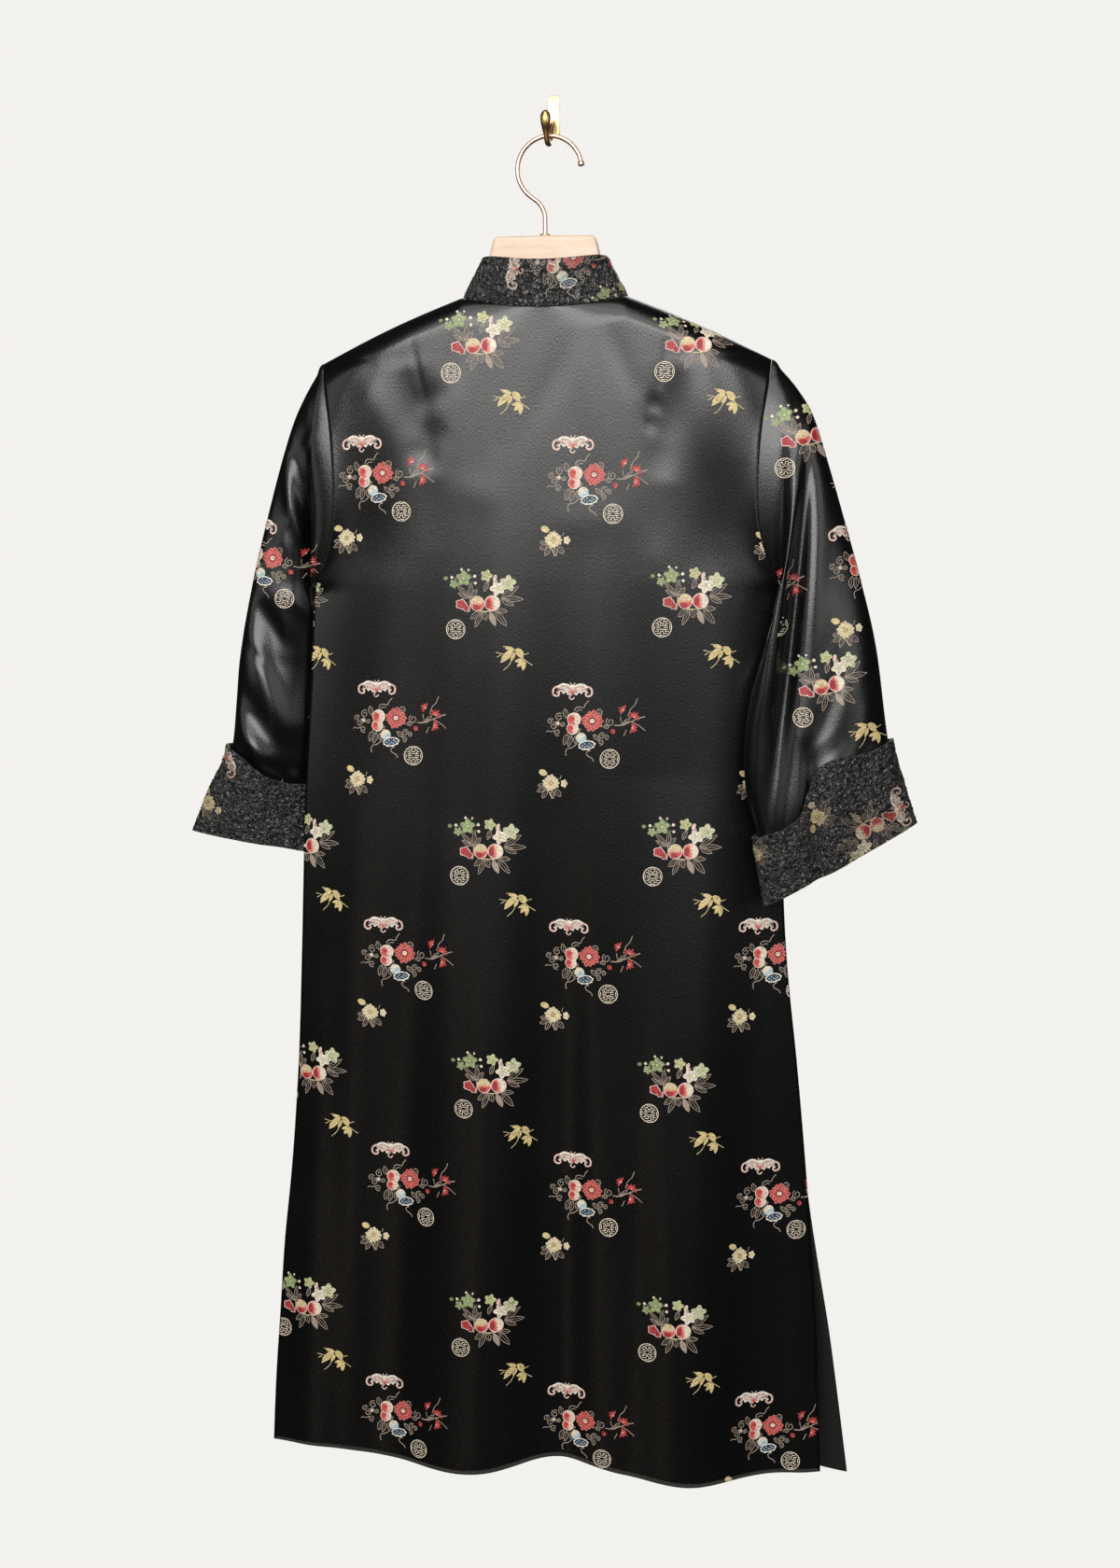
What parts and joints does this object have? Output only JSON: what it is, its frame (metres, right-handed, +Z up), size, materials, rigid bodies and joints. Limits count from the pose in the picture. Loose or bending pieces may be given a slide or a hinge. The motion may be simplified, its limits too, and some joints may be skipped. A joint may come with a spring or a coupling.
{
  "type": "long brocade jacket on a wooden hanger and wall hook",
  "caption": "Long satin brocade jacket with stand collar, turned-back cuffs and side slits, hung back outwards on a wooden hanger and wall hook.",
  "frame": {"origin": "centre of the wall plate's back face, where it meets the wall", "axes": "+Z up, +Y into the wall, +X to the right of somebody who faces the wall"},
  "size_m": [0.6856, 0.1134, 1.2944],
  "materials": {
    "satin_brocade": "black satin with woven flower motifs, soft sheen",
    "reversed_brocade": "the same brocade's crinkled reverse, low sheen",
    "frog_cord": "black satin cord",
    "pale_wood": "pale smooth wood, matt lacquer",
    "copper_wire": "rose gold plated wire, polished",
    "brass": "polished brass"
  },
  "bodies": {
    "root": {"back": "satin_brocade", "front_left": "satin_brocade", "front_right": "satin_brocade", "sleeve_left": "satin_brocade", "sleeve_right": "satin_brocade", "cuff_left": "reversed_brocade", "cuff_right": "reversed_brocade", "collar": "reversed_brocade", "frog_loop_1": "frog_cord", "frog_knot_1": "frog_cord", "frog_loop_2": "frog_cord", "frog_knot_2": "frog_cord", "frog_loop_3": "frog_cord", "frog_knot_3": "frog_cord", "frog_loop_4": "frog_cord", "frog_knot_4": "frog_cord", "frog_loop_5": "frog_cord", "frog_knot_5": "frog_cord", "hanger_wood": "pale_wood", "hanger_hook": "copper_wire", "wall_plate": "brass", "wall_peg": "brass"}
  },
  "joints": []
}
